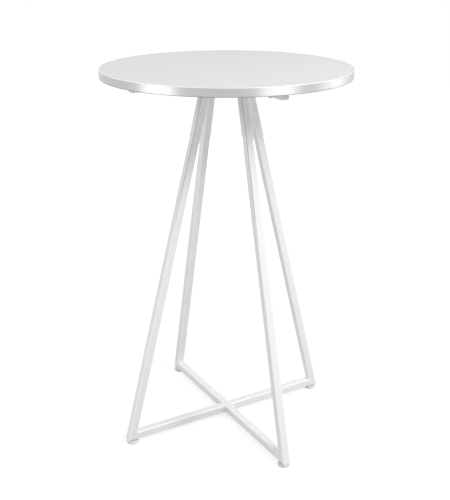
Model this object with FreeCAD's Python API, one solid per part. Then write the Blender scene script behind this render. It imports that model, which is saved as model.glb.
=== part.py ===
import FreeCAD, Part
import math
import os

from FreeCAD import Placement, Rotation, Vector

# A tall round table: a laminated board on two crossed frames of square steel tube, on levelling feet.
# Millimetres. +Z is up and the floor is z = 0. The table's middle is x = y = 0.
# The through frame stands in the XZ plane: its floor bar and its arm run unbroken through the middle.
# The split frame stands in the YZ plane: its bar and arm are halves, welded to the through ones.

# Overall
table_height = 1100.0      # floor to the top surface, with the feet screwed right in
top_diameter = 700.0
floor_reach = 347.5        # middle to the outer corner of each floor corner
through_head_reach = 78.0  # middle to a leg's outer face where it meets the arm, through frame
split_head_reach = 95.0    # the same, split frame
arm_reach = 291.0          # middle to an arm's end, with its plug

# Board
core_thickness = 22.0
laminate_thickness = 0.4
band_thickness = 2.0
band_bevel = 0.8

# Tube
tube_side = 24.0
tube_wall = 1.5
tube_rounding = 3.0
crossing_weld = 4.0        # bead radius in the corners of a crossing
leg_weld = 3.0             # bead radius along a leg's head

# Plugs that close the arms' ends
plug_head_thickness = 3.0  # of the head, which covers the tube's wall
plug_depth = 12.0          # length of the skirt inside the tube
plug_wall = 1.8
plug_bevel = 2.0           # on the skirt's corners, clear of the tube's rounding

# Screws that hold the board to the arms
screw_reach = 222.0        # middle to each screw, one in the outer half of each arm
screw_diameter = 6.0
screw_flange_diameter = 14.0
screw_flange_thickness = 1.4
screw_head_flats = 8.0
screw_head_height = 4.0
screw_engagement = 12.0    # length inside the threaded insert
screw_hole_clearance = 0.3
insert_diameter = 9.5
insert_length = 14.0
insert_clearance = 0.05
thread_clearance = 0.05    # radial, around every plain-modelled thread

# Levelling feet
foot_inset = 18.5          # outer floor corner to the foot's axis
foot_travel = 15.0
pad_diameter = 35.0
pad_height = 8.2
pad_side_height = 5.4
pad_shoulder_diameter = 19.0
pad_floor = 2.4            # plastic under the stud's end
stud_diameter = 8.0
collar_flats = 13.0
collar_height = 2.7
play = 0.3                 # between the stud and the pad, and between the collar and the bar
nut_flats = 13.0
nut_height = 6.5
stud_hole_clearance = 0.5

# Places that follow from the sizes above
top_thickness = core_thickness + 2 * laminate_thickness
underside = table_height - top_thickness
board_radius = top_diameter / 2 - band_thickness
arm_bottom = underside - tube_side
bar_bottom = pad_height + play + collar_height + play
bar_top = bar_bottom + tube_side
foot_reach = floor_reach - foot_inset
stud_top = bar_bottom + tube_wall + nut_height + foot_travel
tube_reach = arm_reach - plug_head_thickness
tube_inside = tube_side - 2 * tube_wall
far = 4 * table_height     # larger than the table, for cutting blocks

up = Vector(0, 0, 1)
origin = Vector(0, 0, 0)
frame_angle = {"right": 0, "back": 90, "left": 180, "front": 270}
head_reach = {
    "right": through_head_reach,
    "back": split_head_reach,
    "left": through_head_reach,
    "front": split_head_reach,
}


def turned(shape, side):
    """Turns a shape built on the +X side to the named side of the table."""
    result = shape.copy()
    result.rotate(origin, up, frame_angle[side])
    return result


def cylinder(radius, bottom, top, x=0.0, y=0.0):
    """An upright cylinder between two heights."""
    return Part.makeCylinder(radius, top - bottom, Vector(x, y, bottom), up)


def hexagon(flats, bottom, top):
    """An upright hexagonal prism around the Z axis, given its width across flats."""
    corner = flats / 2 / math.cos(math.pi / 6)
    angles = [math.radians(60 * step) for step in range(7)]
    points = [Vector(corner * math.cos(angle), corner * math.sin(angle), bottom) for angle in angles]
    return Part.Face(Part.makePolygon(points)).extrude(Vector(0, 0, top - bottom))


def square_bar(start, end, side, height):
    """A solid square bar along X, centred on y = 0 and z = height."""
    return Part.makeBox(end - start, side, side, Vector(start, -side / 2, height - side / 2))


def long_edges(bar):
    """A bar's edges along X."""
    return [edge for edge in bar.Edges if abs(edge.tangentAt(edge.FirstParameter).x) > 0.99]


def rounded_bar(start, end, side, rounding, height):
    """A square bar with its long edges rounded."""
    bar = square_bar(start, end, side, height)
    return bar.makeFillet(rounding, long_edges(bar))


def tube_outside(start, end, height):
    """The outer shape of a tube along X."""
    return rounded_bar(start, end, tube_side, tube_rounding, height)


def tube(start, end, height):
    """A square tube along X, open at both ends."""
    inside = rounded_bar(start - 1, end + 1, tube_inside, tube_rounding - tube_wall, height)
    return tube_outside(start, end, height).cut(inside)


def cut_beyond(shape, point, normal):
    """Removes all of a shape that lies beyond a plane, on the side its normal points to."""
    block = Part.makeBox(far, far, far, Vector(-far / 2, -far / 2, 0))
    block.Placement = Placement(point, Rotation(up, normal))
    return shape.cut(block)


def leg_direction(reach):
    """The direction of the +X leg, from its floor corner up to its head."""
    rise = Vector(reach - floor_reach, 0, arm_bottom - bar_bottom)
    return rise.normalize()


def mitre_normal(reach):
    """The normal of the mitre between the +X leg and its floor bar, pointing to the bar's side."""
    bisector = (leg_direction(reach) + Vector(-1, 0, 0)).normalize()
    return Vector(-bisector.z, 0, bisector.x)


def floor_corner():
    """The outer bottom corner on the +X side, where the mitre starts."""
    return Vector(floor_reach, 0, bar_bottom)


def bar_height():
    """The height of the floor bars' axes."""
    return bar_bottom + tube_side / 2


def arm_height():
    """The height of the arms' axes."""
    return arm_bottom + tube_side / 2


def leg(side, outside_only=False):
    """A straight leg: mitred to its floor bar, and coped to the arm at its head."""
    direction = leg_direction(head_reach[side])
    inward = Vector(-direction.z, 0, direction.x)
    length = (arm_bottom - bar_bottom) / direction.z
    make = tube_outside if outside_only else tube
    shape = make(-tube_side, length + 2 * tube_side, 0)
    start = floor_corner() + inward * (tube_side / 2)
    shape.Placement = Placement(start, Rotation(Vector(1, 0, 0), direction))
    shape = cut_beyond(shape, floor_corner(), mitre_normal(head_reach[side]))
    shape = cut_beyond(shape, Vector(0, 0, arm_height()), up)
    shape = shape.cut(tube_outside(0, tube_reach, arm_height()))
    return turned(shape, side)


def mitred(bar, reach):
    """Cuts the +X end of a floor bar to the mitre."""
    return cut_beyond(bar, floor_corner(), -mitre_normal(reach))


def stud_drilled(bar):
    """Drills the hole for the foot's stud through the +X end's lower wall."""
    radius = stud_diameter / 2 + stud_hole_clearance
    return bar.cut(cylinder(radius, bar_bottom - 1, bar_bottom + tube_wall + 1, foot_reach))


def screw_drilled(arm):
    """Drills the screw hole through the +X end's two level walls."""
    radius = screw_diameter / 2 + screw_hole_clearance
    return arm.cut(cylinder(radius, arm_bottom - 1, underside + 1, screw_reach))


def both_ends(shape, work):
    """Works the +X end of a bar, then its -X end."""
    shape = work(shape)
    shape.rotate(origin, up, 180)
    shape = work(shape)
    shape.rotate(origin, up, 180)
    return shape


def floor_bar_through():
    """The unbroken floor bar, mitred and drilled at both ends."""
    bar = tube(-floor_reach, floor_reach, bar_height())
    return both_ends(bar, lambda end: stud_drilled(mitred(end, through_head_reach)))


def floor_bar_half(side):
    """Half a floor bar: coped to the unbroken bar, and mitred and drilled at its outer end."""
    bar = stud_drilled(mitred(tube(0, floor_reach, bar_height()), split_head_reach))
    crossing = tube_outside(-tube_side, tube_side, bar_height())
    return turned(bar, side).cut(crossing)


def arm_through():
    """The unbroken arm under the board."""
    return both_ends(tube(-tube_reach, tube_reach, arm_height()), screw_drilled)


def arm_half(side):
    """Half an arm, coped to the unbroken arm."""
    arm = turned(screw_drilled(tube(0, tube_reach, arm_height())), side)
    return arm.cut(tube_outside(-tube_side, tube_side, arm_height()))


def arm_plugs():
    """A plug in each arm's end: a head over the wall, and a hollow square skirt pressed into the tube."""
    head = tube_outside(tube_reach, arm_reach, arm_height())
    skirt_end = tube_reach - plug_depth
    skirt = square_bar(skirt_end, tube_reach, tube_inside, arm_height())
    skirt = skirt.makeChamfer(plug_bevel, long_edges(skirt))
    hollow = square_bar(skirt_end - 1, tube_reach, tube_inside - 2 * plug_wall, arm_height())
    plug = head.fuse(skirt.cut(hollow))
    return Part.makeCompound([turned(plug, side) for side in frame_angle])


def corner_beads(bottom, top):
    """Four upright weld beads in the corners where two tubes cross."""
    edge = tube_side / 2
    beads = []
    for x, y in ((edge, edge), (-edge, edge), (-edge, -edge), (edge, -edge)):
        bead = cylinder(crossing_weld, bottom, top, x, y)
        tubes = [Part.makeBox(far, tube_side, far, Vector(-far / 2, -edge, -far / 2))]
        tubes.append(Part.makeBox(tube_side, far, far, Vector(-edge, -far / 2, -far / 2)))
        beads.append(bead.cut(tubes))
    return beads


def floor_welds():
    """The beads at the floor crossing, between the tubes' rounded edges."""
    return Part.makeCompound(corner_beads(bar_bottom + tube_rounding, bar_top - tube_rounding))


def leg_head_bead(side):
    """Two weld beads along a leg's head: one on its outer face and one on its inner face."""
    across = tube_side - 2 * tube_rounding
    reach = head_reach[side]
    depth = tube_side / leg_direction(reach).z
    arm = tube_outside(0, tube_reach, arm_height())
    beads = []
    for x in (reach, reach - depth):
        bead = Part.makeCylinder(leg_weld, across, Vector(x, -across / 2, arm_bottom), Vector(0, 1, 0))
        bead = turned(bead.cut(arm), side).cut(leg(side, outside_only=True))
        beads.append(bead)
    return beads


def head_welds():
    """The beads where the arms cross and where each leg meets its arm."""
    beads = corner_beads(arm_bottom + tube_rounding, underside - tube_rounding)
    for side in frame_angle:
        beads += leg_head_bead(side)
    return Part.makeCompound(beads)


def on_each_side(shape, reach):
    """Four copies of a shape built around the Z axis, one on each side at a distance from the middle."""
    moved = shape.translated(Vector(reach, 0, 0))
    return Part.makeCompound([turned(moved, side) for side in frame_angle])


def at_screws(shape):
    """One copy of a shape at each screw."""
    return on_each_side(shape, screw_reach)


def board_core():
    """The round board, with a blind hole over each screw."""
    core = cylinder(board_radius, underside + laminate_thickness, table_height - laminate_thickness)
    hole = cylinder(insert_diameter / 2 + insert_clearance, underside, underside + insert_length)
    return core.cut(at_screws(hole))


def top_laminate():
    """The wearing face, inside the edge band."""
    return cylinder(board_radius, table_height - laminate_thickness, table_height)


def backing_laminate():
    """The balancing sheet under the board, cut out for the threaded inserts."""
    sheet = cylinder(board_radius, underside, underside + laminate_thickness)
    hole = cylinder(insert_diameter / 2 + insert_clearance, underside - 1, underside + insert_length)
    return sheet.cut(at_screws(hole))


def edge_band():
    """The band around the board, with both outer edges bevelled."""
    outside = cylinder(top_diameter / 2, underside, table_height)
    rims = [edge for edge in outside.Edges if isinstance(edge.Curve, Part.Circle)]
    outside = outside.makeChamfer(band_bevel, rims)
    return outside.cut(cylinder(board_radius, underside - 1, table_height + 1))


def threaded_inserts():
    """A threaded bush in the board over each screw."""
    bush = cylinder(insert_diameter / 2, underside, underside + insert_length)
    bore = cylinder(screw_diameter / 2 + thread_clearance, underside - 1, underside + insert_length + 1)
    return at_screws(bush.cut(bore))


def screws():
    """The machine screws: a flange against the arm, a hexagonal head under it, and a plain shank."""
    flange_bottom = arm_bottom - screw_flange_thickness
    flange = cylinder(screw_flange_diameter / 2, flange_bottom, arm_bottom)
    head = hexagon(screw_head_flats, flange_bottom - screw_head_height, flange_bottom)
    shank = cylinder(screw_diameter / 2, arm_bottom, underside + screw_engagement)
    return at_screws(head.fuse([flange, shank]))


def weld_nuts():
    """A hexagonal nut inside each floor corner, on the bar's lower wall."""
    bottom = bar_bottom + tube_wall
    nut = hexagon(nut_flats, bottom, bottom + nut_height)
    nut = nut.cut(cylinder(stud_diameter / 2 + thread_clearance, bottom - 1, bottom + nut_height + 1))
    return on_each_side(nut, foot_reach)


def foot_pad(side):
    """A round plastic pad with a sloping shoulder, and a blind socket that the stud's end turns in."""
    rim = pad_diameter / 2
    outline = [
        (0, 0), (rim, 0), (rim, pad_side_height), (pad_shoulder_diameter / 2, pad_height), (0, pad_height),
    ]
    points = [Vector(x, 0, z) for x, z in outline]
    half_section = Part.Face(Part.makePolygon(points + points[:1]))
    pad = half_section.revolve(origin, up, 360)
    pad = pad.cut(cylinder(stud_diameter / 2 + play, pad_floor, pad_height + 1))
    return turned(pad.translated(Vector(foot_reach, 0, 0)), side)


def foot_stud(side):
    """The threaded stud: its end in the pad, a hexagonal collar above the pad, its shank in the nut."""
    collar_bottom = pad_height + play
    collar = hexagon(collar_flats, collar_bottom, collar_bottom + collar_height)
    shank = cylinder(stud_diameter / 2, pad_floor + play, stud_top)
    stud = collar.fuse(shank)
    return turned(stud.translated(Vector(foot_reach, 0, 0)), side)


def all_nodes():
    """Every sub-part by its name."""
    nodes = {
        "top_laminate": top_laminate(),
        "board_core": board_core(),
        "backing_laminate": backing_laminate(),
        "edge_band": edge_band(),
        "threaded_inserts": threaded_inserts(),
        "top_screws": screws(),
        "arm_through": arm_through(),
        "arm_plugs": arm_plugs(),
        "floor_bar_through": floor_bar_through(),
        "floor_welds": floor_welds(),
        "head_welds": head_welds(),
        "weld_nuts": weld_nuts(),
    }
    for side in ("front", "back"):
        nodes["arm_" + side] = arm_half(side)
        nodes["floor_bar_" + side] = floor_bar_half(side)
    for side in frame_angle:
        nodes["leg_" + side] = leg(side)
        nodes["foot_pad_" + side] = foot_pad(side)
        nodes["foot_stud_" + side] = foot_stud(side)
    return nodes


os.makedirs("parts", exist_ok=True)
for name, shape in all_nodes().items():
    shape.exportStep("parts/" + name + ".step")
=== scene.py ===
import math

import bmesh
import bpy
from mathutils import Matrix, Vector, noise


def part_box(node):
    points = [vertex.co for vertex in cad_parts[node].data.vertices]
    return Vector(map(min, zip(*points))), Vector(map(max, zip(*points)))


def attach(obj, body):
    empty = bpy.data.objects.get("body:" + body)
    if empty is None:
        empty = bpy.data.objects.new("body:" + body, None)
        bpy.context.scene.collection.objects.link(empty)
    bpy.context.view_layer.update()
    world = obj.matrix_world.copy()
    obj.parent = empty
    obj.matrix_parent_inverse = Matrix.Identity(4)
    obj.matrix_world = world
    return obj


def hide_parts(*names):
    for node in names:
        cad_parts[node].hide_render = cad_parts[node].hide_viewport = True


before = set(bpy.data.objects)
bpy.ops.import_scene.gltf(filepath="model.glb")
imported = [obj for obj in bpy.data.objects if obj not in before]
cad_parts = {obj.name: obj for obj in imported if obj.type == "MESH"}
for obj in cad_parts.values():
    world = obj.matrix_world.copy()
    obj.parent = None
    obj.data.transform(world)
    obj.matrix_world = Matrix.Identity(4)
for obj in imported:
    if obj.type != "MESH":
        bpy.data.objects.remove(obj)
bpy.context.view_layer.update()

# A tall round table: a laminated board with a metal edge band, on two crossed frames of square tube with
# levelling feet. Metres. +Z is up, the floor is z = 0 and the table's middle is x = y = 0. The through
# frame stands in the XZ plane, and the split frame, whose bar and arm are halves, in the YZ plane.
# A side's shapes are built on the +X side and turned to right, back, left or front.

MM = 0.001
UP = Vector((0, 0, 1))
ACROSS = Vector((0, 1, 0))
INWARD = Vector((-1, 0, 0))
SIDE_ANGLE = {"right": 0, "back": 90, "left": 180, "front": 270}

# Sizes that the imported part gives
laminate_low, laminate_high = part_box("top_laminate")
band_low, band_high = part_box("edge_band")
arm_low, arm_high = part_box("arm_through")
bar_low, bar_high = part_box("floor_bar_through")
pad_low, pad_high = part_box("foot_pad_right")
stud_low, stud_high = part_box("foot_stud_right")
bolt_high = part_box("top_screws")[1]
plug_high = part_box("arm_plugs")[1]

TOP = band_high.z
UNDERSIDE = band_low.z
LAMINATE = laminate_high.z - laminate_low.z
BOARD_RADIUS = laminate_high.x
BAND_RADIUS = band_high.x
TUBE_SIDE = arm_high.z - arm_low.z
ARM_BOTTOM = arm_low.z
ARM_REACH = arm_high.x         # to the tube's end, inside the plug's head
PLUG_REACH = plug_high.x
BAR_BOTTOM = bar_low.z
FLOOR_REACH = bar_high.x
FOOT_REACH = (pad_low.x + pad_high.x) / 2
PAD_RADIUS = (pad_high.x - pad_low.x) / 2
PAD_HEIGHT = pad_high.z
STUD_BOTTOM = stud_low.z
STUD_TOP = stud_high.z
BOLT_TOP = bolt_high.z

# Sizes that boxes don't give
HEAD_REACH = {"right": 78 * MM, "back": 95 * MM, "left": 78 * MM, "front": 95 * MM}
HALF = TUBE_SIDE / 2
TUBE_WALL = 1.5 * MM
TUBE_ROUNDING = 3 * MM
TUBE_LIP = 0.3 * MM            # edge break at an open end
BOLT_FLANGE_RADIUS = 7 * MM
BOLT_FLANGE = 1.4 * MM
BOLT_REACH = bolt_high.x - BOLT_FLANGE_RADIUS
BOLT_HOLE_RADIUS = 3.3 * MM
STUD_HOLE_RADIUS = 4.5 * MM


# ---- Finishes ----

def shade(red, green, blue):
    """A display colour from 0 to 255 as the linear colour that a shader takes."""
    def linear(value):
        value /= 255
        return value / 12.92 if value <= 0.04045 else ((value + 0.055) / 1.055) ** 2.4
    return (linear(red), linear(green), linear(blue), 1.0)


class Wire:
    """One output of a shader node. Arithmetic on it adds Math nodes."""

    def __init__(self, finish, socket):
        self.finish = finish
        self.socket = socket

    def __add__(self, other):
        return self.finish.math("ADD", self, other)

    def __radd__(self, other):
        return self.finish.math("ADD", other, self)

    def __sub__(self, other):
        return self.finish.math("SUBTRACT", self, other)

    def __rsub__(self, other):
        return self.finish.math("SUBTRACT", other, self)

    def __mul__(self, other):
        return self.finish.math("MULTIPLY", self, other)

    def __rmul__(self, other):
        return self.finish.math("MULTIPLY", other, self)

    def __abs__(self):
        return self.finish.math("ABSOLUTE", self)


class Finish:
    """A material, built from shader nodes."""

    def __init__(self, owner):
        owner.use_nodes = True
        self.owner = owner
        self.tree = owner.node_tree
        self.tree.nodes.clear()

    def node(self, kind, settings=None, sockets=None, output=0):
        """Adds one node: its settings, then the values or links of its sockets. Returns one output."""
        made = self.tree.nodes.new(kind)
        for name, value in (settings or {}).items():
            setattr(made, name, value)
        for name, value in (sockets or {}).items():
            if isinstance(value, Wire):
                self.tree.links.new(value.socket, made.inputs[name])
            else:
                made.inputs[name].default_value = value
        return Wire(self, made.outputs[output]) if made.outputs else None

    def math(self, operation, *values):
        return self.node("ShaderNodeMath", {"operation": operation}, dict(enumerate(values)))

    def place(self):
        """Where a point is on the object, in metres."""
        return self.node("ShaderNodeTexCoord", output="Object")

    def stretched(self, place, x, y, z):
        return self.node("ShaderNodeVectorMath", {"operation": "MULTIPLY"}, {0: place, 1: (x, y, z)})

    def noise(self, place, per_metre=1.0, detail=2.0, roughness=0.5):
        """Soft random values around 0.5, with a number of features to a metre."""
        sockets = {"Vector": place, "Scale": per_metre, "Detail": detail, "Roughness": roughness}
        return self.node("ShaderNodeTexNoise", None, sockets)

    def cells(self, place, per_metre, feature="F1", output="Distance"):
        sockets = {"Vector": place, "Scale": per_metre}
        return self.node("ShaderNodeTexVoronoi", {"feature": feature}, sockets, output)

    def part_of(self, place, output):
        """One coordinate of a place: X, Y or Z."""
        return self.node("ShaderNodeSeparateXYZ", None, {0: place}, output)

    def joined(self, x, y, z):
        return self.node("ShaderNodeCombineXYZ", None, {0: x, 1: y, 2: z})

    def ramp(self, value, low, high, start=0.0, end=1.0):
        """start at and below low, end at and above high, with a smooth step between."""
        sockets = {"Value": value, "From Min": low, "From Max": high, "To Min": start, "To Max": end}
        return self.node("ShaderNodeMapRange", {"interpolation_type": "SMOOTHSTEP"}, sockets)

    def fade(self, value, low, high):
        """1 at and below low, 0 at and above high."""
        return self.ramp(value, low, high, 1.0, 0.0)

    def mix(self, share, first, second):
        """Colour: first where share is 0, second where it is 1."""
        return self.node("ShaderNodeMix", {"data_type": "RGBA"}, {0: share, 6: first, 7: second}, 2)

    def edge_mask(self):
        """1 on a tube's or plug's rounded edges, 0 on its flats: the mask for their wear and their painted
        highlights.
        """
        return self.node("ShaderNodeAttribute", {"attribute_name": "edge_mask"}, output="Fac")

    def facing(self, direction, low, high):
        """1 where the surface faces a direction of the object, 0 where it turns away from it."""
        normal = self.node("ShaderNodeNewGeometry", output="Normal")
        product = {"operation": "DOT_PRODUCT"}
        turned = self.node("ShaderNodeVectorMath", product, {0: normal, 1: direction}, "Value")
        return self.ramp(turned, low, high)

    def bump(self, height, distance):
        return self.node("ShaderNodeBump", None, {"Height": height, "Distance": distance, "Strength": 1.0})

    def surface(self, **sockets):
        """The finished surface. Socket names are written with underscores for spaces."""
        named = {name.replace("_", " "): value for name, value in sockets.items()}
        self.output(self.node("ShaderNodeBsdfPrincipled", None, named))
        return self.owner

    def output(self, shader):
        in_world = isinstance(self.owner, bpy.types.World)
        kind = "ShaderNodeOutputWorld" if in_world else "ShaderNodeOutputMaterial"
        self.node(kind, None, {"Surface": shader})


def new_finish(name):
    return Finish(bpy.data.materials.new(name))


# A painted shade line: a dark line painted on the upper rounded corners of the front and left legs that face
# the front-left
SHADE_LINE_SIDE = (-0.707, -0.707, 0.0)      # corners facing this way get the painted shade line
SHADE_LINE_TURN = (0.84, 0.95)               # how squarely a corner faces that side
SHADE_LINE_HEIGHTS = (0.6, 0.82)
SHADE_LINE_RIGHT = (0.0, 0.03)               # the painted shade line is on the left and front legs only
SHADE_LINE_BACK = (-0.02, 0.05)
DUST_HEIGHTS = (4 * MM, 90 * MM)


def powder_coating():
    """Satin white powder coat: a soft orange peel, a painted highlight on its rounded edges, a painted shade
    line on one upper corner, and dusty near the floor.
    """
    f = new_finish("white_powder_coating")
    place = f.place()
    x, y, z = (f.part_of(place, axis) for axis in "XYZ")
    peel = f.noise(place, 430)
    grain = f.noise(place, 2600, detail=1.0)
    cloud = f.noise(place, 6, detail=3.0)
    edge = f.edge_mask()
    worn = edge * f.ramp(f.noise(place, 130, 4.0, 0.7), 0.62, 0.72)
    # painted shade: a dark line on the upper corners that face the front-left, standing in for shade there
    painted_shade_line = edge * f.facing(SHADE_LINE_SIDE, *SHADE_LINE_TURN) * f.ramp(z, *SHADE_LINE_HEIGHTS)
    painted_shade_line = painted_shade_line * f.fade(x, *SHADE_LINE_RIGHT) * f.fade(y, *SHADE_LINE_BACK)
    dust = f.fade(z, *DUST_HEIGHTS) * f.ramp(f.noise(place, 60, 5.0, 0.7), 0.35, 0.85)
    handled = f.ramp(f.noise(place, 14, 3.0, 0.6), 0.5, 0.8)
    coat = f.mix(cloud, shade(242, 242, 242), shade(245, 245, 245))
    coat = f.mix(dust * 0.05, coat, shade(196, 192, 185))
    coat = f.mix(handled * 0.02, coat, shade(206, 205, 204))
    # painted highlight: the rounded edges are lightened towards white
    coat = f.mix(edge * 0.9, coat, shade(254, 254, 254))
    coat = f.mix(painted_shade_line * 0.75, coat, shade(151, 151, 151))
    coat = f.mix(worn * 0.1, coat, shade(207, 207, 207))
    roughness = 0.25 + cloud * 0.02 + dust * 0.06 + handled * 0.03 - edge * 0.1
    normal = f.bump(peel + grain * 0.2 - worn * 0.5, 0.05 * MM)
    return f.surface(Base_Color=coat, Roughness=roughness, Normal=normal)


def tube_inside():
    """The tube's inside: grey phosphated steel, which the coating hardly reaches."""
    f = new_finish("tube_inside")
    place = f.place()
    blotch = f.noise(place, 45, 5.0, 0.6)
    speck = f.noise(place, 900)
    steel = f.mix(f.ramp(blotch, 0.35, 0.7), shade(150, 150, 151), shade(184, 183, 181))
    return f.surface(Base_Color=steel, Roughness=0.45 + blotch * 0.2, Normal=f.bump(speck, 0.05 * MM))


def top_laminate_finish():
    """Satin white laminate with a fine pearl texture and the faint sheen changes of wiping."""
    f = new_finish("satin_white_laminate")
    place = f.place()
    pearl = f.noise(place, 1500, roughness=0.6)
    relief = f.noise(place, 520)
    wiped = f.noise(f.stretched(place, 3.0, 11.0, 1.0), 1.4, 5.0, 0.55)
    cloud = f.noise(place, 5)
    scratch = f.noise(f.stretched(place, 5, 60, 1), 5, 3.0, 0.6)
    hair = f.fade(abs(scratch - 0.5), 0.0, 0.006)
    face = f.mix(cloud, shade(225, 225, 229), shade(229, 229, 232))
    face = f.mix(f.ramp(pearl, 0.55, 0.8) * 0.2, face, shade(214, 214, 218))
    roughness = 0.5 + wiped * 0.12 + pearl * 0.04 - hair * 0.02
    normal = f.bump(pearl * 0.6 + relief, 0.03 * MM)
    return f.surface(Base_Color=face, Roughness=roughness, Normal=normal)


def back_laminate_finish():
    """Plain white balancing sheet: duller than the top, with a fibre grain and a few smears."""
    f = new_finish("plain_white_backing")
    place = f.place()
    fibre = f.noise(f.stretched(place, 1.0, 3.0, 1.0), 420, 4.0, 0.6)
    cloud = f.noise(place, 9, detail=3.0)
    smear = f.ramp(f.noise(place, 24, 5.0, 0.7), 0.6, 0.75)
    face = f.mix(cloud, shade(226, 225, 222), shade(233, 232, 229))
    face = f.mix(smear * 0.12, face, shade(190, 186, 178))
    return f.surface(Base_Color=face, Roughness=0.5 + fibre * 0.12, Normal=f.bump(fibre, 0.03 * MM))


BAND_MIDDLE = (TOP + UNDERSIDE) / 2
BAND_HALF = (TOP - UNDERSIDE) / 2
MILLED_WITH_PAINTED_LIGHT = (BAND_HALF - 1.6 * MM, BAND_HALF - 1.0 * MM)      # the matt corners, painted darker at the bottom as shade and paler at the top as a highlight, begin between these
MARKED = (BAND_HALF - 1.2 * MM, BAND_HALF - 0.2 * MM)      # and the marks beside them


def edge_band_finish():
    """Satin anodised metal, brushed along the edge, with matt milled corners and a few marks beside them;
    the lower corner is painted darker as shade and the upper one paler as a highlight.
    """
    f = new_finish("brushed_edge_band")
    place = f.place()
    x, y, z = (f.part_of(place, axis) for axis in "XYZ")
    along = f.math("ARCTAN2", y, x) * BAND_RADIUS
    lines = f.noise(f.joined(along * 9, z * 2600, 0.0), detail=3.0, roughness=0.7)
    coarse = f.noise(f.joined(along * 4, z * 700, 3.0), roughness=0.6)
    cloud = f.noise(f.joined(along * 14, z * 30, 7.0), detail=3.0)
    off_middle = abs(z - BAND_MIDDLE)
    lip = f.ramp(off_middle, *MARKED)
    nick = lip * f.ramp(f.noise(place, 260, 3.0, 0.7), 0.63, 0.7)
    milled_with_painted_light = f.ramp(off_middle, *MILLED_WITH_PAINTED_LIGHT)
    # painted light on the matt corners: painted shade on the lower one, a painted highlight on the upper one
    corner = f.mix(f.ramp(z, UNDERSIDE, TOP), shade(119, 119, 119), shade(227, 227, 227))
    metal = f.mix(lines, shade(182, 182, 182), shade(195, 195, 195))
    metal = f.mix(lip * 0.4, metal, shade(199, 199, 199))
    metal = f.mix(nick * 0.5, metal, shade(161, 161, 161))
    metal = f.mix(milled_with_painted_light, metal, corner)
    roughness = 0.27 + lines * 0.1 + cloud * 0.05 - nick * 0.05 + milled_with_painted_light * 0.45
    normal = f.bump(lines + coarse * 1.5, 0.012 * MM)
    return f.surface(
        Base_Color=metal, Roughness=roughness, Normal=normal, Metallic=1.0,
        Anisotropic=0.6, Anisotropic_Rotation=0.25,
    )


def particle_board():
    """Pressed wood chips with resin between them."""
    f = new_finish("particle_board")
    flattened = f.stretched(f.place(), 1.0, 1.0, 2.2)
    tone = f.part_of(f.cells(flattened, 420, output="Color"), "X")
    resin = f.cells(flattened, 420, "DISTANCE_TO_EDGE")
    wood = f.mix(tone, shade(150, 116, 78), shade(214, 184, 140))
    wood = f.mix(f.ramp(resin, 0.0, 0.12, 0.7, 0.0), wood, shade(92, 68, 44))
    return f.surface(Base_Color=wood, Roughness=0.75 + tone * 0.15, Normal=f.bump(resin, 0.2 * MM))


def zinc_plate(name, light, dark):
    """Bright zinc on steel: a faint spangle, a haze, and the fine rings of turning."""
    f = new_finish(name)
    place = f.place()
    spangle = f.part_of(f.cells(place, 950, output="Color"), "X")
    haze = f.noise(place, 160, 4.0, 0.6)
    turned = f.noise(f.stretched(place, 60, 60, 2600))
    zinc = f.mix(haze, light, dark)
    zinc = f.mix(spangle * 0.12, zinc, shade(226, 227, 224))
    roughness = 0.24 + haze * 0.16 + spangle * 0.05
    normal = f.bump(turned + haze * 0.6, 0.012 * MM)
    return f.surface(Base_Color=zinc, Roughness=roughness, Normal=normal, Metallic=1.0)


def brass_finish():
    """Machined brass with a light tarnish."""
    f = new_finish("turned_brass")
    place = f.place()
    tarnish = f.noise(place, 220, 4.0, 0.6)
    turned = f.noise(f.stretched(place, 60, 60, 3000))
    brass = f.mix(tarnish, shade(214, 182, 112), shade(170, 134, 74))
    normal = f.bump(turned, 0.012 * MM)
    return f.surface(Base_Color=brass, Roughness=0.28 + tarnish * 0.2, Normal=normal, Metallic=1.0)


GRIME_HEIGHT = 3.5 * MM


def foot_plastic_finish():
    """Light grey moulded plastic with a spark-eroded texture, scuffed and dusty low down."""
    f = new_finish("moulded_foot_plastic")
    place = f.place()
    pits = f.noise(place, 1900, 3.0, 0.7)
    flow = f.noise(place, 85, detail=3.0)
    low = f.fade(f.part_of(place, "Z"), 0.0, GRIME_HEIGHT)
    grime = low * f.ramp(f.noise(place, 240, 4.0, 0.7), 0.4, 0.65)
    plastic = f.mix(flow, shade(226, 226, 226), shade(233, 233, 233))
    plastic = f.mix(grime * 0.3, plastic, shade(168, 164, 158))
    roughness = 0.42 + pits * 0.12 + grime * 0.15
    return f.surface(Base_Color=plastic, Roughness=roughness, Normal=f.bump(pits, 0.04 * MM))


def plug_plastic_finish():
    """White moulded plastic with a painted highlight on its rounded rim, a fine satin texture and faint flow
    marks.
    """
    f = new_finish("moulded_plug_plastic")
    place = f.place()
    pits = f.noise(place, 1500, 3.0, 0.7)
    flow = f.noise(place, 120, detail=3.0)
    mark = f.ramp(f.noise(place, 300, 4.0, 0.7), 0.64, 0.74)
    plastic = f.mix(flow, shade(232, 232, 232), shade(238, 238, 237))
    plastic = f.mix(mark * 0.12, plastic, shade(190, 188, 184))
    # painted highlight: the rounded rim is lightened towards white
    plastic = f.mix(f.edge_mask() * 0.95, plastic, shade(255, 255, 254))
    roughness = 0.36 + pits * 0.12 + mark * 0.1
    return f.surface(Base_Color=plastic, Roughness=roughness, Normal=f.bump(pits, 0.04 * MM))


coating = powder_coating()
lining = tube_inside()
zinc = zinc_plate("zinc_plated_steel", shade(150, 152, 155), shade(122, 124, 127))


# ---- Shapes ----

CREASE = 32                    # degrees between faces, above which an edge stays sharp
SOFT_CREASE = 50
SPUN_CREASE = 60
HOLE_POINTS = 32


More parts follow.
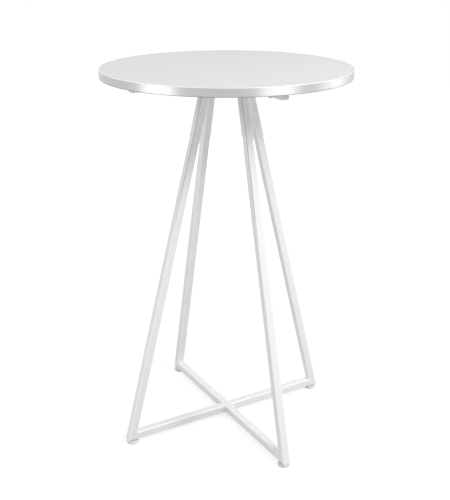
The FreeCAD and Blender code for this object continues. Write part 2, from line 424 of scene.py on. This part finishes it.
class Shape:
    """Points and faces, with how far each point lies on a rounded edge, the mask for wear and painted
    highlights, and whether each face has the lining's finish.
    """

    def __init__(self):
        self.points = []
        self.faces = []
        self.edge_mask = []
        self.lining = []

    def loft(self, rings, joined=False, edge_mask=0.0, lining=False):
        """Skins equal rings in order. Joined, the last meets the first, and else both ends are capped."""
        start, count, total = len(self.points), len(rings[0]), len(rings)
        for number, ring in enumerate(rings):
            self.points += [Vector(point) for point in ring]
            self.edge_mask += edge_mask[number] if isinstance(edge_mask, list) else [edge_mask] * count
        for number in range(total if joined else total - 1):
            first, second = start + number * count, start + (number + 1) % total * count
            for step in range(count):
                after = (step + 1) % count
                self.faces.append((first + step, first + after, second + after, second + step))
            self.lining += [lining and number == total - 1] * count
        if not joined:
            last = start + (total - 1) * count
            self.faces.append(tuple(range(start, start + count)))
            self.faces.append(tuple(range(last, last + count)))
            self.lining += [False, False]
        return self

    def moved(self, matrix):
        """The same shape in another place."""
        self.points = [matrix @ point for point in self.points]
        return self

    def turned(self, side):
        """The same shape on another side of the table."""
        return self.moved(Matrix.Rotation(math.radians(SIDE_ANGLE[side]), 4, "Z"))

    def add(self, other):
        """Takes in another shape."""
        start = len(self.points)
        self.points += other.points
        self.edge_mask += other.edge_mask
        self.lining += other.lining
        self.faces += [tuple(start + index for index in face) for face in other.faces]
        return self


def soften(made, crease):
    """Smooth shading, with creases at sharp edges and flat faces kept flat."""
    mesh = made.data
    mesh.polygons.foreach_set("use_smooth", [True] * len(mesh.polygons))
    mesh.set_sharp_from_angle(angle=math.radians(crease))
    normals = made.modifiers.new("flat_faces", "WEIGHTED_NORMAL")
    normals.keep_sharp = True
    normals.weight = 100


def drill(made, holes):
    """Cuts round upright holes: each is x, y, radius, bottom and top."""
    shape = Shape()
    for x, y, radius, bottom, top in holes:
        shape.loft([ring_at(radius, height, HOLE_POINTS, x, y) for height in (bottom, top)])
    cutter = make_mesh("cutter", shape, [coating])
    cut = made.modifiers.new("holes", "BOOLEAN")
    cut.object = cutter
    cut.solver = "EXACT"
    bpy.context.view_layer.update()
    drilled = made.evaluated_get(bpy.context.evaluated_depsgraph_get())
    result = bpy.data.meshes.new_from_object(drilled)
    made.modifiers.remove(cut)
    made.data = result
    bpy.data.objects.remove(cutter)


def make_mesh(name, shape, finishes):
    """A mesh object of a shape, with every face turned outwards."""
    mesh = bpy.data.meshes.new(name)
    mesh.from_pydata(shape.points, [], shape.faces)
    for finish in finishes:
        mesh.materials.append(finish)
    mesh.polygons.foreach_set("material_index", [int(inside) for inside in shape.lining])
    edge_mask = mesh.attributes.new("edge_mask", "FLOAT", "POINT")
    edge_mask.data.foreach_set("value", shape.edge_mask)
    work = bmesh.new()
    work.from_mesh(mesh)
    bmesh.ops.recalc_face_normals(work, faces=work.faces)
    work.to_mesh(mesh)
    work.free()
    return into_scene(name, mesh)


def into_scene(name, data):
    """An object that holds a mesh, lamp or camera."""
    made = bpy.data.objects.new(name, data)
    bpy.context.scene.collection.objects.link(made)
    return made


def fit(name, shape, finishes, body, stands_for=None, holes=(), crease=CREASE):
    """Makes a piece of the table, which rides on a body and may stand for a CAD node."""
    made = make_mesh(name, shape, finishes)
    if holes:
        drill(made, holes)
    soften(made, crease)
    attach(made, body)
    if stands_for:
        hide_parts(stands_for)


def ring_at(radius, height, count, x=0.0, y=0.0):
    """A level ring of points. radius may be a function of the angle."""
    ring = []
    for step in range(count):
        angle = math.tau * step / count
        reach = radius(angle) if callable(radius) else radius
        ring.append((x + reach * math.cos(angle), y + reach * math.sin(angle), height))
    return ring


def spun(outline, count):
    """A turned shape: an outline of radius and height, spun about the Z axis."""
    return Shape().loft([ring_at(radius, height, count) for radius, height in outline])


def quarter(centre_r, centre_z, radius, start, steps=5):
    """Points of a rounded edge in an outline, a quarter turn anticlockwise from an angle in degrees."""
    points = []
    for step in range(steps + 1):
        angle = math.radians(start + 90 * step / steps)
        points.append((centre_r + radius * math.cos(angle), centre_z + radius * math.sin(angle)))
    return points


# ---- Board ----

FACE_POINTS = 360              # points round the laminate
FACE_EDGE = 0.12 * MM          # edge break
FACE_RINGS = (0.66, 0.33, 0.05)        # shares of the radius
BAND_POINTS = 720
BAND_ROUNDING = 0.8 * MM
BAND_LIP = 0.1 * MM            # edge break at its inner corners
GLUE_LINE = 0.03 * MM
JOINT_ANGLE = math.radians(62)
JOINT_DEPTH = 0.3 * MM         # of the hairline where the band's two ends meet
JOINT_MOUTH = 0.25 * MM        # half its width at the band's face
JOINT_FLOOR = 0.15 * MM        # and half its width at its bottom
JOINT_INSET = 1.2 * MM         # how far in from the band's face points are sunk


def tabletop_face():
    """The wearing laminate, with its edge just broken."""
    outline = [(BOARD_RADIUS, TOP - LAMINATE), (BOARD_RADIUS, TOP - FACE_EDGE)]
    outline += [(BOARD_RADIUS - FACE_EDGE, TOP)] + [(BOARD_RADIUS * share, TOP) for share in FACE_RINGS]
    shape, finish = spun(outline, FACE_POINTS), top_laminate_finish()
    fit("tabletop_laminate", shape, [finish], "table", "top_laminate", crease=SPUN_CREASE)


def band_outline():
    """The band's section, as radius and height."""
    inner, middle = BOARD_RADIUS + GLUE_LINE, BAND_RADIUS - BAND_ROUNDING
    outline = [(inner, UNDERSIDE + BAND_LIP), (inner + BAND_LIP, UNDERSIDE)]
    outline += quarter(middle, UNDERSIDE + BAND_ROUNDING, BAND_ROUNDING, -90)
    outline += quarter(middle, TOP - BAND_ROUNDING, BAND_ROUNDING, 0)
    return outline + [(inner + BAND_LIP, TOP), (inner, TOP - BAND_LIP)]


def tabletop_edge():
    """The edge band: rounded outer edges, and the butt joint where its two ends meet."""
    mouth, bottom = JOINT_MOUTH / BAND_RADIUS, JOINT_FLOOR / BAND_RADIUS
    in_joint = (mouth + bottom) / 2
    angles = [math.tau * step / BAND_POINTS for step in range(BAND_POINTS)]
    angles = sorted(angles + [JOINT_ANGLE + side * half for side in (-1, 1) for half in (mouth, bottom)])
    rings = []
    for radius, height in band_outline():
        sunk = radius - JOINT_DEPTH if radius > BAND_RADIUS - JOINT_INSET else radius
        ring = []
        for angle in angles:
            reach = sunk if abs(angle - JOINT_ANGLE) < in_joint else radius
            ring.append((reach * math.cos(angle), reach * math.sin(angle), height))
        rings.append(ring)
    shape, finish = Shape().loft(rings, joined=True), edge_band_finish()
    fit("tabletop_edge_band", shape, [finish], "table", "edge_band", crease=SOFT_CREASE)


# ---- Tube frames ----

CORNER_STEPS = 6
SUPPORT = 1.4 * MM             # flat kept beside each rounded edge

# The rings at a tube's end, from its inside to its outside: how far the section is grown, whether it is the
# inside one, and how far back from the end it is
PLAIN_END = [(0.0, True, 0.0), (0.0, False, 0.0)]
BROKEN_END = [(0.0, True, TUBE_LIP), (TUBE_LIP, True, 0.0), (-TUBE_LIP, False, 0.0), (0.0, False, TUBE_LIP)]


def rounded_square(half, rounding):
    """Points of a square, and each one's edge mask, for wear and painted highlights: 1 on the rounded edges,
    0 on the flats.
    """
    centre = half - rounding
    points, edge_mask = [], []
    for corner in range(4):
        turn = Matrix.Rotation(math.pi / 2 * corner, 2)
        corner_points = [(half, centre - SUPPORT)]
        for step in range(CORNER_STEPS + 1):
            angle = math.pi / 2 * step / CORNER_STEPS
            corner_points.append((centre + rounding * math.cos(angle), centre + rounding * math.sin(angle)))
        corner_points.append((centre - SUPPORT, half))
        points += [tuple(turn @ Vector(point)) for point in corner_points]
        edge_mask += [0.0] + [1.0] * (CORNER_STEPS + 1) + [0.0]
    return points, edge_mask


def section(growth=0.0, inside=False):
    """The tube's square section, outside or inside, grown by an amount."""
    growth -= TUBE_WALL if inside else 0
    return rounded_square(HALF + growth, TUBE_ROUNDING + growth)


def fall(offset):
    """How far a tube's side has curved away at a distance from the middle of that side."""
    beyond = min(max(abs(offset) - (HALF - TUBE_ROUNDING), 0), TUBE_ROUNDING)
    return TUBE_ROUNDING - math.sqrt(TUBE_ROUNDING ** 2 - beyond ** 2)


def tube_end(place, cut, step, is_open):
    """The rings at one end of a tube, each with its points' edge mask, for wear and painted highlights. step
    is 1 at the near end and -1 at the far one, so that it points into the tube."""
    rings = []
    for growth, inside, back in BROKEN_END if is_open else PLAIN_END:
        points, edge = section(growth, inside)
        ring = [place(u, v, cut(u, v) + step * back) for u, v in points]
        rings.append((ring, [0.0] * len(edge) if inside else edge))
    return rings


def tube(place, near, far, near_open=False, far_open=False):
    """A square tube. place puts a point of the section at a distance along it, and near and far say where
    the wall ends there. An open end has its edges broken."""
    ends = tube_end(place, near, 1, near_open) + tube_end(place, far, -1, far_open)[::-1]
    rings, edge_mask = [ring for ring, edge in ends], [edge for ring, edge in ends]
    return Shape().loft(rings, joined=True, edge_mask=edge_mask, lining=True)


def level(height):
    """Places a level tube along X, with its axis at a height."""
    return lambda u, v, along: Vector((along, v, height + u))


def leg_direction(reach):
    return Vector((reach - FLOOR_REACH, 0, ARM_BOTTOM - BAR_BOTTOM)).normalized()


def leg_inward(reach):
    """Square to a leg, towards the table's middle."""
    direction = leg_direction(reach)
    return Vector((-direction.z, 0, direction.x))


def leg_place(reach):
    """Places a leg's section: u is towards the table's middle."""
    direction, inward = leg_direction(reach), leg_inward(reach)
    start = Vector((FLOOR_REACH, 0, BAR_BOTTOM)) + inward * HALF
    return lambda u, v, along: start + direction * along + inward * u + ACROSS * v


def mitre_normal(reach):
    """The normal of the mitre between a leg and its floor bar, pointing to the bar's side."""
    bisector = (leg_direction(reach) + INWARD).normalized()
    return Vector((-bisector.z, 0, bisector.x))


def bar_mitre(reach):
    """Where a floor bar's wall ends at the mitre."""
    normal = mitre_normal(reach)
    return lambda u, v: FLOOR_REACH - normal.z * (u + HALF) / normal.x


def leg_mitre(reach):
    """Where a leg's wall starts at the mitre."""
    direction, inward, normal = leg_direction(reach), leg_inward(reach), mitre_normal(reach)
    return lambda u, v: -(HALF + u) * inward.dot(normal) / direction.dot(normal)


def leg_cope(reach):
    """Where a leg's wall ends against the rounded underside of the arm."""
    direction, place = leg_direction(reach), leg_place(reach)
    return lambda u, v: (ARM_BOTTOM + fall(v) - place(u, v, 0).z) / direction.z


def half_cope(u, v):
    """Where a half bar or half arm starts, against the rounded side of the unbroken one."""
    return HALF - fall(u)


def arm_end(u, v):
    return ARM_REACH


def far_side(cut):
    """A cut, repeated at the tube's other end."""
    return lambda u, v: -cut(u, v)


def at_side(side, reach):
    """The x and y of a point out on one side."""
    angle = math.radians(SIDE_ANGLE[side])
    return (reach * math.cos(angle), reach * math.sin(angle))


def bolt_holes(sides):
    span = (ARM_BOTTOM - MM, UNDERSIDE + MM)
    return [at_side(side, BOLT_REACH) + (BOLT_HOLE_RADIUS, *span) for side in sides]


def stud_holes(sides):
    span = (BAR_BOTTOM - MM, BAR_BOTTOM + TUBE_WALL + MM)
    return [at_side(side, FOOT_REACH) + (STUD_HOLE_RADIUS, *span) for side in sides]


def fit_tube(name, shape, holes=()):
    fit(name + "_tube", shape, [coating, lining], "table", name, holes)


def frames():
    """The two crossed frames."""
    arm, bar = level(ARM_BOTTOM + HALF), level(BAR_BOTTOM + HALF)
    through, split = bar_mitre(HEAD_REACH["right"]), bar_mitre(HEAD_REACH["back"])
    both = ("right", "left")
    fit_tube("arm_through", tube(arm, far_side(arm_end), arm_end, True, True), bolt_holes(both))
    fit_tube("floor_bar_through", tube(bar, far_side(through), through), stud_holes(both))
    for side in ("front", "back"):
        fit_tube("arm_" + side, tube(arm, half_cope, arm_end, False, True).turned(side), bolt_holes([side]))
        fit_tube("floor_bar_" + side, tube(bar, half_cope, split).turned(side), stud_holes([side]))
    for side, reach in HEAD_REACH.items():
        fit_tube("leg_" + side, tube(leg_place(reach), leg_mitre(reach), leg_cope(reach)).turned(side))


PLUG_DEPTH = 12 * MM
PLUG_WALL = 1.8 * MM
SKIRT_ROUNDING = 2 * MM
HOLLOW_ROUNDING = 0.4 * MM
LEAD_IN = (0.4 * MM, 2 * MM)           # the taper at the skirt's end: how far in, and how long
SEAT_BREAK = (0.25 * MM, 0.3 * MM)     # the head's edge break where it meets the tube: in, and out
HEAD_ROUNDING = 1.4 * MM
RIM_WIDTH = 0.3 * MM           # how far the rounding's painted highlight runs on to the head's face
CORNER_SHRINK = 0.8            # how fast its corners' rounding shrinks as the side goes in


def plug_steps():
    """A plug's rings in order, as half side, rounding and distance out, and how many come before its rim."""
    inside = HALF - TUBE_WALL
    hollow, skirt_end = inside - PLUG_WALL, ARM_REACH - PLUG_DEPTH
    lead, lead_length = LEAD_IN
    seat, seat_height = SEAT_BREAK
    steps = [
        (hollow, HOLLOW_ROUNDING, ARM_REACH), (hollow, HOLLOW_ROUNDING, skirt_end),
        (inside - lead, SKIRT_ROUNDING, skirt_end), (inside, SKIRT_ROUNDING, skirt_end + lead_length),
        (inside, SKIRT_ROUNDING, ARM_REACH), (HALF - seat, TUBE_ROUNDING - seat, ARM_REACH),
        (HALF, TUBE_ROUNDING, ARM_REACH + seat_height),
    ]
    before_rim = len(steps)
    for back, reach in quarter(HEAD_ROUNDING, PLUG_REACH - HEAD_ROUNDING, HEAD_ROUNDING, 90)[::-1]:
        steps.append((HALF - back, TUBE_ROUNDING - back * CORNER_SHRINK, reach))
    steps.append((HALF - HEAD_ROUNDING - RIM_WIDTH, TUBE_ROUNDING - HEAD_ROUNDING, PLUG_REACH))
    return steps, before_rim


def arm_plugs():
    """A plug in each arm's end: a head with a rounded edge over the wall, and a hollow skirt in the tube."""
    steps, before_rim = plug_steps()
    place = level(ARM_BOTTOM + HALF)
    shape = Shape()
    for side in SIDE_ANGLE:
        rings, edge_mask = [], []
        for number, (half, rounding, reach) in enumerate(steps):
            rings.append([place(u, v, reach) for u, v in rounded_square(half, rounding)[0]])
            # the rim's rings get the edge mask that paints the plug's highlight
            edge_mask.append([float(before_rim <= number < len(steps) - 1)] * len(rings[0]))
        shape.add(Shape().loft(rings, edge_mask=edge_mask).turned(side))
    finish = plug_plastic_finish()
    fit("arm_end_plugs", shape, [finish], "table", "arm_plugs", crease=SOFT_CREASE)


# ---- Welds ----

CROSSING_BEAD = 4 * MM         # radii
HEAD_BEAD = 3 * MM
BEAD_STEPS = 8                 # steps across a bead's face
BEAD_ROOT = 0.3 * MM           # how far a bead goes into its corner
BEAD_TAPER = 1.6 * MM          # length of its tapered ends
BEAD_START = 0.45              # share of its radius at the very end
BEAD_WOBBLE = (0.06, 260)      # how uneven its radius is: the share, and how many swells to a metre
RIPPLE_PITCH = 1.3 * MM
RIPPLE_STEPS = 5               # rings to one ripple
RIPPLE_DEPTH = 0.08            # share of the bead's radius
RIPPLE_LEAD = 0.6              # how far a ripple bows along the bead, in pitches
SEAM_WOBBLE = (0.5, 300)

# The ground swelling round a mitre: distance from the mitre and height over the tube, in millimetres. The
# last ring closes it inside the tube's wall.
SEAM_BANDS = [(-1.8, -0.06), (-0.9, 0.05), (0.0, 0.09), (0.9, 0.05), (1.8, -0.06), (0.0, -0.8)]


def uneven(place, wobble):
    """A factor around 1 that varies smoothly from place to place."""
    share, per_metre = wobble
    return 1 + share * noise.noise(place * per_metre)


def bead(start, run, side_a, side_b, radius):
    """A weld bead in the corner of two faces: rippled along its run, full at the middle, with tapered ends.
    side_a and side_b point along the two faces, away from the corner."""
    length = run.length
    along = run.normalized()
    side_a, side_b = side_a.normalized(), side_b.normalized()
    count = int(length / (RIPPLE_PITCH / RIPPLE_STEPS))
    rings = []
    for number in range(count + 1):
        distance = length * number / count
        corner = start + along * distance
        end = min(distance, length - distance) / BEAD_TAPER
        taper = BEAD_START + (1 - BEAD_START) * math.sqrt(1 - (1 - min(end, 1)) ** 2)
        wobble = uneven(corner, BEAD_WOBBLE)
        ring = [corner - (side_a + side_b) * BEAD_ROOT]
        for step in range(BEAD_STEPS + 1):
            turn = step / BEAD_STEPS * math.pi
            a, b = math.cos(turn / 2), math.sin(turn / 2)
            lead = math.sin(turn) * RIPPLE_LEAD * RIPPLE_PITCH
            ripple = abs(math.cos(math.pi * (distance - lead) / RIPPLE_PITCH))
            crown = (a + b) ** -0.5
            reach = radius * taper * crown * wobble * (1 - RIPPLE_DEPTH * ripple * math.sin(turn))
            ring.append(corner + (side_a * a + side_b * b) * reach)
        rings.append(ring)
    return Shape().loft(rings)


def crossing_beads(bottom):
    """Four upright beads in the corners where two tubes cross, between the tubes' rounded edges."""
    low, high = bottom + TUBE_ROUNDING, bottom + TUBE_SIDE - TUBE_ROUNDING
    shape = Shape()
    for x, y in ((1, 1), (-1, 1), (-1, -1), (1, -1)):
        corner = Vector((x * HALF, y * HALF, low))
        shape.add(bead(corner, UP * (high - low), Vector((x, 0, 0)), Vector((0, y, 0)), CROSSING_BEAD))
    return shape


def head_beads(side):
    """The beads across a leg's outer and inner faces, under the arm."""
    reach = HEAD_REACH[side]
    direction = leg_direction(reach)
    across = HALF - TUBE_ROUNDING
    depth = TUBE_SIDE / direction.z
    shape = Shape()
    for x, outwards in ((reach, 1), (reach - depth, -1)):
        start = Vector((x, -across, ARM_BOTTOM))
        shape.add(bead(start, ACROSS * 2 * across, -direction, Vector((outwards, 0, 0)), HEAD_BEAD))
    return shape.turned(side)


def dressed_seam(side):
    """The ground weld round a mitre: a low, uneven swelling under the coating."""
    reach = HEAD_REACH[side]
    place, cut = leg_place(reach), leg_mitre(reach)
    direction, inward = leg_direction(reach), leg_inward(reach)
    rings = []
    for offset, height in SEAM_BANDS:
        run = direction if offset > 0 else INWARD
        ring = []
        for u, v in section()[0]:
            centre = place(u, v, cut(u, v))
            out = (inward * u + UP * u + ACROSS * 2 * v).normalized()
            swell = height * uneven(centre, SEAM_WOBBLE) if height > 0 else height
            ring.append(centre + run * abs(offset) * MM + out * swell * MM)
        rings.append(ring)
    return Shape().loft(rings, joined=True).turned(side)


def welds():
    """All the beads, under the same coating as the tubes."""
    heads, corners, crossing = crossing_beads(ARM_BOTTOM), Shape(), crossing_beads(BAR_BOTTOM)
    for side in SIDE_ANGLE:
        heads.add(head_beads(side))
        corners.add(dressed_seam(side))
    fit("head_weld_beads", heads, [coating], "table", "head_welds", crease=SOFT_CREASE)
    fit("floor_weld_beads", crossing, [coating], "table", "floor_welds", crease=SOFT_CREASE)
    fit("dressed_corner_seams", corners, [coating], "table", crease=SOFT_CREASE)


# ---- Bolts and feet ----

RING = 36                      # points round a bolt or stud: six to each side of a hexagon
THREAD_STEPS = 6               # rings to one turn of a thread
THREAD_DEPTH = 0.6             # share of the pitch
THREAD_ROOT = 1.25             # how deep a groove's flanks would meet, in depths. Its root is cut flat at 1
THREAD_FLANK = 3.2             # how many depths a flank rises in a pitch
BOLT_HEAD = 4 * MM
BOLT_HEAD_FLATS = 8 * MM
BOLT_RADIUS = 3 * MM
BOLT_PITCH = 1 * MM
BOLT_STOP = {"right": 12, "back": 41, "left": 27, "front": 3}      # degrees, where each was tightened to
STUD_RADIUS = 4 * MM
STUD_PITCH = 1.25 * MM
STUD_CHAMFER = 0.5 * MM
COLLAR_FLATS = 13 * MM
COLLAR_BOTTOM = PAD_HEIGHT + 0.3 * MM
COLLAR_HEIGHT = 2.7 * MM
COLLAR_CHAMFER = 0.5 * MM

# In millimetres: the dish in the bolt's head and the curve of its flange, as radius and rise
HEAD_DISH = [(0.5, 0.35), (1.9, 0.35), (2.6, 0.0)]
FLANGE_CURVE = [(4.9, 0.05), (6.2, 0.45), (6.8, 0.75), (7.0, 1.05), (6.9, 1.4), (3.0, 1.4)]

# The pad's outline in millimetres, from under its middle, round the rim and up over the hub into the socket
PAD_POINTS = 72
PAD_OUTLINE_RADIUS = 17.5
PAD_OUTLINE = [
    (0.6, 0.7), (6.5, 0.7), (7.9, 0.7), (8.4, 0.5), (8.8, 0.12), (9.2, 0.0), (15.8, 0.0), (16.6, 0.16),
    (17.2, 0.6), (17.47, 1.2), (17.5, 2.0), (17.42, 4.5), (17.2, 5.05), (16.7, 5.4), (15.6, 5.75),
    (13.4, 6.4), (11.4, 7.1), (10.3, 7.75), (9.7, 8.05), (9.1, 8.2), (5.0, 8.2), (4.55, 8.05), (4.3, 7.7),
    (4.3, 2.4), (0.6, 2.4),
]


def hexagon(flats, limit):
    """The reach of a hexagon at an angle, cut back to a cone's radius."""
    def reach(angle):
        corner = angle % (math.pi / 3) - math.pi / 6
        return min(flats / 2 / math.cos(corner), limit)
    return reach


def hexagon_corner(flats):
    return flats / 2 / math.cos(math.pi / 6)


def thread(radius, pitch, bottom, top):
    """Rings of a screw thread, plain where it starts and chamfered at its top."""
    depth = THREAD_DEPTH * pitch
    count = round((top - bottom) / pitch * THREAD_STEPS)
    rings = []
    for number in range(count + 1):
        height = bottom + (top - bottom) * number / count
        fade = min(1, (height - bottom) / pitch)
        chamfer = max(0, depth - (top - height))

        def reach(angle, height=height, fade=fade, chamfer=chamfer):
            turn = (height / pitch - angle / math.tau) % 1
            groove = min(max(THREAD_ROOT - abs(turn - 0.5) * THREAD_FLANK, 0), 1)
            return radius - max(depth * groove * fade, chamfer)
        rings.append(ring_at(reach, height, RING))
    return rings


def bolt():
    """A flanged hexagon bolt, head down: dished and chamfered head, curved flange, threaded shank."""
    flange_low = ARM_BOTTOM - BOLT_FLANGE
    head_low = flange_low - BOLT_HEAD
    flats, corner = BOLT_HEAD_FLATS, hexagon_corner(BOLT_HEAD_FLATS)
    rings = [ring_at(radius * MM, head_low + rise * MM, RING) for radius, rise in HEAD_DISH]
    for limit, height in (
        (flats / 2 - 0.15 * MM, head_low), (flats / 2 + 0.2 * MM, head_low + 0.25 * MM),
        (corner, head_low + 0.6 * MM), (corner, flange_low - 0.25 * MM),
    ):
        rings.append(ring_at(hexagon(flats, limit), height, RING))
    rings += [ring_at(radius * MM, flange_low + rise * MM, RING) for radius, rise in FLANGE_CURVE]
    return rings + thread(BOLT_RADIUS, BOLT_PITCH, ARM_BOTTOM + 0.2 * MM, BOLT_TOP)


def bolts():
    """One bolt near the end of each arm, each stopped at its own angle."""
    shape = Shape()
    for side, stop in BOLT_STOP.items():
        x, y = at_side(side, BOLT_REACH)
        turn = Matrix.Rotation(math.radians(stop), 4, "Z")
        shape.add(Shape().loft(bolt()).moved(Matrix.Translation((x, y, 0)) @ turn))
    fit("flanged_bolts", shape, [zinc], "table", "top_screws")


def foot_stud():
    """The stud: plain end, chamfered hexagon collar, threaded shank."""
    flats, corner = COLLAR_FLATS, hexagon_corner(COLLAR_FLATS)
    low, high = COLLAR_BOTTOM, COLLAR_BOTTOM + COLLAR_HEIGHT
    rings = [
        ring_at(STUD_RADIUS - STUD_CHAMFER, STUD_BOTTOM, RING),
        ring_at(STUD_RADIUS, STUD_BOTTOM + STUD_CHAMFER, RING),
        ring_at(STUD_RADIUS, low, RING),
    ]
    chamfered = flats / 2 - 0.2 * MM
    for height, limit in (
        (low, chamfered), (low + COLLAR_CHAMFER, corner), (high - COLLAR_CHAMFER, corner), (high, chamfered),
    ):
        rings.append(ring_at(hexagon(flats, limit), height, RING))
    rings.append(ring_at(STUD_RADIUS, high, RING))
    return Shape().loft(rings + thread(STUD_RADIUS, STUD_PITCH, high + 0.15 * MM, STUD_TOP))


def foot_pad():
    """The pad: a ring that stands on the floor round a shallow recess, a drafted side with rounded edges, a
    sloping shoulder and a hub with the socket that the stud's end turns in."""
    scale = PAD_RADIUS / PAD_OUTLINE_RADIUS
    return spun([(radius * scale, height * MM) for radius, height in PAD_OUTLINE], PAD_POINTS)


def feet():
    """A pad and a stud under each floor corner. The pads slide with their feet, and the studs also turn."""
    plastic = foot_plastic_finish()
    # zinc-plated steel, darkened beyond its own tone as painted shade for the gap between the pad and the
    # floor bar
    steel = zinc_plate("zinc_foot_steel_darkened_as_gap_shade", shade(128, 130, 132), shade(98, 100, 103))
    for side in SIDE_ANGLE:
        x, y = at_side(side, FOOT_REACH)
        move = Matrix.Translation((x, y, 0)) @ Matrix.Rotation(math.radians(SIDE_ANGLE[side]), 4, "Z")
        pad, stud = "foot_pad_" + side, "foot_stud_" + side
        moulding, threaded = foot_pad().moved(move), foot_stud().moved(move)
        fit(pad + "_moulding", moulding, [plastic], "pad_" + side, pad, crease=SPUN_CREASE)
        fit(stud + "_threaded", threaded, [steel], "stud_" + side, stud)


def kept_nodes():
    """The pieces that stay as packed."""
    finishes = {
        "board_core": particle_board(),
        "backing_laminate": back_laminate_finish(),
        "threaded_inserts": brass_finish(),
        "weld_nuts": zinc,
    }
    for name, finish in finishes.items():
        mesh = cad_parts[name].data
        mesh.materials.clear()
        mesh.materials.append(finish)


# ---- Camera ----

VIEW_AZIMUTH = math.radians(30.272)
VIEW_PITCH = math.radians(20.623)
VIEW_DISTANCE = 2.3402         # level distance from the table's axis
VIEW_HEIGHT = 1.4395
LONG_SIDE = 500                # pixels
FOCAL_PIXELS = 837.33
CENTRE_OFF = 1.48              # pixels that the optical axis is right of the frame's middle
SENSOR = 36.0
CLIP = (0.05, 100.0)


def aim(made, direction):
    """Turns a lamp or camera, which look along their own -Z, in a direction."""
    made.rotation_mode = "QUATERNION"
    made.rotation_quaternion = direction.to_track_quat("-Z", "Y")


def camera():
    """The camera, at eye height, looking down at the table."""
    lens = bpy.data.cameras.new("camera")
    lens.sensor_width = SENSOR
    lens.lens = FOCAL_PIXELS * SENSOR / LONG_SIDE
    lens.shift_x = -CENTRE_OFF / LONG_SIDE
    lens.clip_start, lens.clip_end = CLIP
    made = into_scene("camera", lens)
    heading = Vector((math.sin(VIEW_AZIMUTH), math.cos(VIEW_AZIMUTH), 0))
    made.location = -heading * VIEW_DISTANCE + UP * VIEW_HEIGHT
    aim(made, heading * math.cos(VIEW_PITCH) - UP * math.sin(VIEW_PITCH))
    bpy.context.scene.camera = made


# ---- Room ----

FLOOR_SIZE = 60.0
FLOOR_TONES = (0.36, 0.38)     # its colour where it is seen
FLOOR_LIGHTING = 0.5           # and where it lights the table
FLOOR_SPAN = (0.4, 2.6)        # from the table's middle: under it, and well away from it
FLOOR_GLOW = (0.73, 0.90)      # what the white floor adds to its own light there
ROOM_LIGHT = 0.288             # the room's even light on the table
SOFTBOX_SIDE = 1.0
SOFTBOX_AIM = Vector((0, 0, 0.85))

# Degrees to the camera's right, distance from the table's axis, height, watts, and seen in the gloss or not
SOFTBOXES = {
    "key_softbox": (60, 4.0, 3.5, 75.1, True),
    "near_key_softbox": (42, 1.9, 2.9, 23.2, True),
    "low_key_softbox": (42, 1.9, 0.55, 4.1, True),
    "right_softbox": (95, 1.9, 1.3, 4.6, True),
    "back_right_softbox": (112, 1.9, 1.3, 3.4, True),
    "left_softbox": (-60, 4.0, 2.5, 40.7, True),
    "low_left_softbox": (-57, 1.9, 0.55, 4.8, True),
    "back_left_softbox": (-125, 1.9, 2.9, 13.6, True),
    "low_back_softbox": (180, 4.0, 0.5, 32, False),
}


def grey(value):
    return (value, value, value, 1)


def see_white(f):
    """1 for rays that show the background: straight to the eye, mirrored or through glass."""
    kinds = ("Is Camera Ray", "Is Glossy Ray", "Is Transmission Ray")
    eye, mirror, glass = (f.node("ShaderNodeLightPath", output=kind) for kind in kinds)
    return f.math("MAXIMUM", f.math("MAXIMUM", eye, mirror), glass)


def floor():
    """A plain white floor, which keeps the table's shadow."""
    f = new_finish("white_floor")
    place = f.place()
    distance = f.node("ShaderNodeVectorMath", {"operation": "LENGTH"}, {0: place}, "Value")
    glow = f.ramp(distance, *FLOOR_SPAN, *FLOOR_GLOW)
    tone = f.mix(f.noise(place, 2.0), *map(grey, FLOOR_TONES))
    shadowed = f.node("ShaderNodeBsdfDiffuse", None, {"Color": tone})
    glowing = f.node("ShaderNodeEmission", None, {"Strength": glow})
    seen = f.node("ShaderNodeAddShader", None, {0: shadowed, 1: glowing})
    lighting = f.node("ShaderNodeBsdfDiffuse", None, {"Color": grey(FLOOR_LIGHTING)})
    f.output(f.node("ShaderNodeMixShader", None, {0: see_white(f), 1: lighting, 2: seen}))
    mesh = bpy.data.meshes.new("floor")
    half = FLOOR_SIZE / 2
    corners = [(-half, -half, 0), (half, -half, 0), (half, half, 0), (-half, half, 0)]
    mesh.from_pydata(corners, [], [(0, 1, 2, 3)])
    mesh.materials.append(f.owner)
    made = into_scene("floor", mesh)


def room():
    """White where it is seen, and an even, lower light on the table."""
    world = bpy.data.worlds.new("white_room")
    bpy.context.scene.world = world
    f = Finish(world)
    strength = ROOM_LIGHT + see_white(f) * (1 - ROOM_LIGHT)
    f.output(f.node("ShaderNodeBackground", None, {"Color": (1, 1, 1, 1), "Strength": strength}))


def from_camera(angle, distance, height):
    """A place round the table, at an angle in degrees to the camera's right."""
    heading = VIEW_AZIMUTH - math.radians(angle)
    return Vector((-math.sin(heading) * distance, -math.cos(heading) * distance, height))


def softboxes():
    """Square lamps round the table, most of them high, which face its middle."""
    for name, (angle, distance, height, power, mirrored) in SOFTBOXES.items():
        lamp = bpy.data.lights.new(name, "AREA")
        lamp.size, lamp.energy = SOFTBOX_SIDE, power
        made = into_scene(name, lamp)
        made.location = from_camera(angle, distance, height)
        aim(made, SOFTBOX_AIM - made.location)
        made.visible_glossy = mirrored


tabletop_face()
tabletop_edge()
frames()
arm_plugs()
welds()
bolts()
feet()
kept_nodes()
floor()
room()
softboxes()
camera()
bpy.context.scene.view_settings.view_transform = "Standard"
